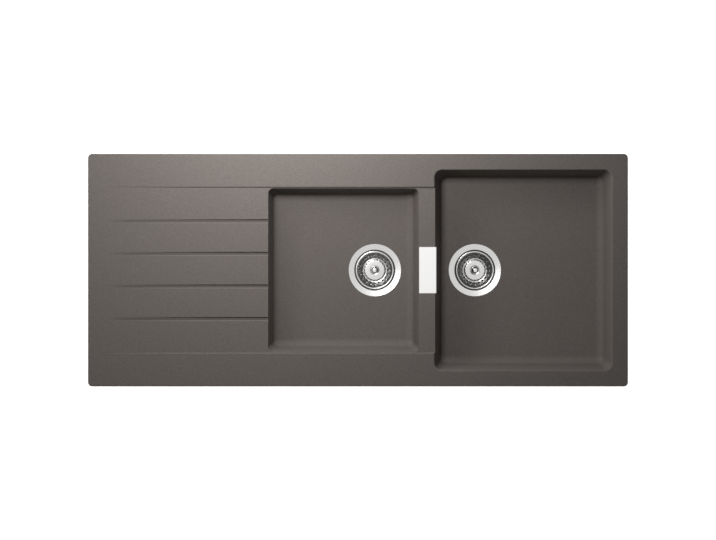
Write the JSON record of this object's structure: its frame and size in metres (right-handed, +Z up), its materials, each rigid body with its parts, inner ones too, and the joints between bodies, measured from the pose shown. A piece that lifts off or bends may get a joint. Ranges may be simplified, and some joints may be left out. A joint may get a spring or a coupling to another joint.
{
  "type": "kitchen sink with drainboard",
  "caption": "Inset granite composite kitchen sink with a half bowl, a main bowl and a ribbed drainboard, complete with basket strainers, overflow and rim clamps.",
  "frame": {"origin": "centre of the sink, on the plane of the worktop's top surface, which the rim's underside rests on", "axes": "+X from the drainboard to the main bowl, +Y to the rear ledge where the tap stands, +Z up"},
  "size_m": [1.16, 0.5, 0.284],
  "materials": {
    "granite": "satin",
    "steel": "satin",
    "chrome": "gloss",
    "zinc": "satin",
    "rubber": "matte",
    "plastic": "matte",
    "hose": "matte",
    "nylon": "matte"
  },
  "bodies": {
    "sink": {"sink_body": "granite", "main_strainer_cup": "steel", "half_strainer_cup": "steel", "main_waste_body": "plastic", "half_waste_body": "plastic", "overflow_head": "plastic", "overflow_hose": "hose", "clamp_screw_1": "zinc", "clamp_screw_2": "zinc", "clamp_screw_3": "zinc", "clamp_screw_4": "zinc", "clamp_screw_5": "zinc", "clamp_screw_6": "zinc"},
    "main_basket": {"main_basket": "steel", "main_knob": "chrome", "main_plug_seal": "rubber"},
    "half_basket": {"half_basket": "steel", "half_knob": "chrome", "half_plug_seal": "rubber"},
    "cover": {"overflow_cover": "steel"},
    "claw_1": {"clamp_claw_1": "nylon"},
    "claw_2": {"clamp_claw_2": "nylon"},
    "claw_3": {"clamp_claw_3": "nylon"},
    "claw_4": {"clamp_claw_4": "nylon"},
    "claw_5": {"clamp_claw_5": "nylon"},
    "claw_6": {"clamp_claw_6": "nylon"}
  },
  "joints": [
    {"name": "main_basket_lift", "type": "slide", "parent": "sink", "child": "main_basket", "axis": [0, 0, 1], "range_m": [0, 0.26]},
    {"name": "half_basket_lift", "type": "slide", "parent": "sink", "child": "half_basket", "axis": [0, 0, 1], "range_m": [0, 0.205]},
    {"name": "overflow_cover_lift", "type": "slide", "parent": "sink", "child": "cover", "axis": [0, 0, 1], "range_m": [0, 0.03]},
    {"name": "clamp_claw_1_swing", "type": "hinge", "parent": "sink", "child": "claw_1", "pos_m": [-0.38, 0.2315, -0.052], "axis": [0, 0, 1], "range_deg": [0, 90]},
    {"name": "clamp_claw_2_swing", "type": "hinge", "parent": "sink", "child": "claw_2", "pos_m": [0.38, 0.2315, -0.052], "axis": [0, 0, 1], "range_deg": [0, 90]},
    {"name": "clamp_claw_3_swing", "type": "hinge", "parent": "sink", "child": "claw_3", "pos_m": [0.5615, 0, -0.052], "axis": [0, 0, 1], "range_deg": [0, 90]},
    {"name": "clamp_claw_4_swing", "type": "hinge", "parent": "sink", "child": "claw_4", "pos_m": [0.38, -0.2315, -0.052], "axis": [0, 0, 1], "range_deg": [0, 90]},
    {"name": "clamp_claw_5_swing", "type": "hinge", "parent": "sink", "child": "claw_5", "pos_m": [-0.38, -0.2315, -0.052], "axis": [0, 0, 1], "range_deg": [0, 90]},
    {"name": "clamp_claw_6_swing", "type": "hinge", "parent": "sink", "child": "claw_6", "pos_m": [-0.5615, 0, -0.052], "axis": [0, 0, 1], "range_deg": [0, 90]}
  ]
}
